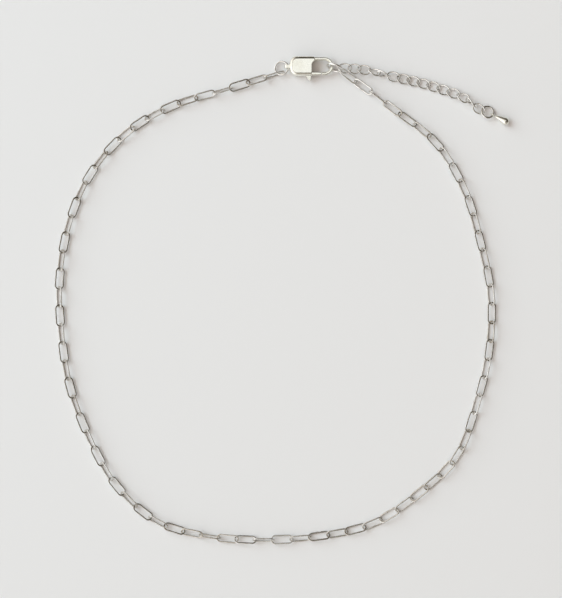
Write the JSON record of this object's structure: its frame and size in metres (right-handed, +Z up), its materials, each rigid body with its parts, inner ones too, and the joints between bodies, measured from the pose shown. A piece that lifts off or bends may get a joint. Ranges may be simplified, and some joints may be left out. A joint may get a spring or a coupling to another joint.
{
  "type": "chain choker",
  "caption": "Choker of long oval links with a lobster clasp, a short curb-link extender and a small teardrop end, lying closed in a loop.",
  "frame": {"origin": "middle of the bounding box on the table under the lying choker", "axes": "+Z up from the table, +Y from the loop's middle to the clasp, +X to the side where the extender points"},
  "size_m": [0.127, 0.1363, 0.0048],
  "materials": {
    "chain_wire": "polished",
    "ring_wire": "polished",
    "clasp_metal": "polished",
    "drop_metal": "polished"
  },
  "bodies": {
    "choker": {"chain": "chain_wire", "tail_ring": "ring_wire", "clasp_body": "clasp_metal", "closure_ring": "ring_wire", "extender_link_01": "ring_wire", "extender_link_02": "ring_wire", "extender_link_03": "ring_wire", "extender_link_04": "ring_wire", "extender_link_05": "ring_wire", "extender_link_06": "ring_wire", "extender_link_07": "ring_wire", "extender_link_08": "ring_wire", "extender_link_09": "ring_wire", "extender_link_10": "ring_wire", "extender_link_11": "ring_wire", "extender_link_12": "ring_wire", "extender_link_13": "ring_wire", "extender_link_14": "ring_wire", "extender_link_15": "ring_wire", "end_ring": "ring_wire", "end_drop": "drop_metal"},
    "gate": {"clasp_lever": "clasp_metal"}
  },
  "joints": [
    {"name": "gate_hinge", "type": "hinge", "parent": "choker", "child": "gate", "pos_m": [0.00745, 0.064, 0.0015], "axis": [0, 0, 1], "range_deg": [0, 28], "stiffness_Nm_per_rad": 0.002, "springref_deg": -17.19}
  ]
}
